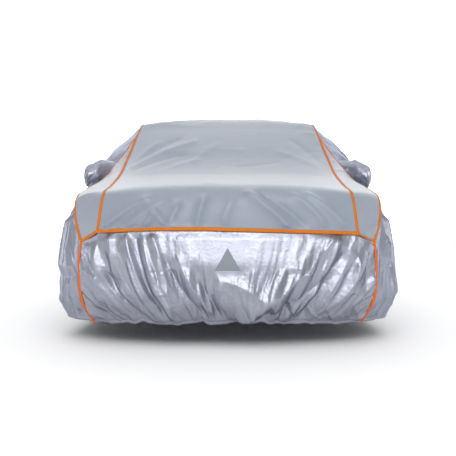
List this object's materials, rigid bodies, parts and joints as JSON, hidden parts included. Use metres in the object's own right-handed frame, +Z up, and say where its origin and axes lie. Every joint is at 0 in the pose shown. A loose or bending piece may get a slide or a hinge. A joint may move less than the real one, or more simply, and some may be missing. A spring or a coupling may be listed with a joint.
{
  "type": "car cover",
  "caption": "Fitted padded hail cover for a saloon car: grey padded top, silver cloth skirt, orange seam tape and door mirror pockets.",
  "frame": {"origin": "under the middle of the padded roof, where the car carries the cover", "axes": "+X to the cover's own right as seen from in front, +Y from its front to its rear, +Z up"},
  "size_m": [1.932, 4.7178, 1.3649],
  "materials": {
    "padding": "matte grey woven face over padding",
    "silver_cloth": "thin silver coated cloth with a soft sheen and fine creases",
    "tape": "matte orange woven binding tape, stitched",
    "reflector": "plain grey reflective fabric"
  },
  "bodies": {
    "root": {"centre_panel": "padding", "front_shoulder_left": "padding", "front_shoulder_right": "padding", "rear_shoulder_left": "padding", "rear_shoulder_right": "padding", "front_skirt": "silver_cloth", "rear_skirt": "silver_cloth", "side_panel_left": "silver_cloth", "side_panel_right": "silver_cloth", "mirror_pocket_left": "silver_cloth", "mirror_pocket_right": "silver_cloth", "centre_tape_left": "tape", "centre_tape_right": "tape", "front_edge_tape_left": "tape", "front_edge_tape_right": "tape", "rear_edge_tape_left": "tape", "rear_edge_tape_right": "tape", "front_corner_tape_left": "tape", "front_corner_tape_right": "tape", "rear_corner_tape_left": "tape", "rear_corner_tape_right": "tape", "front_hem_tape": "tape", "rear_hem_tape": "tape", "reflective_patch": "reflector"}
  },
  "joints": []
}
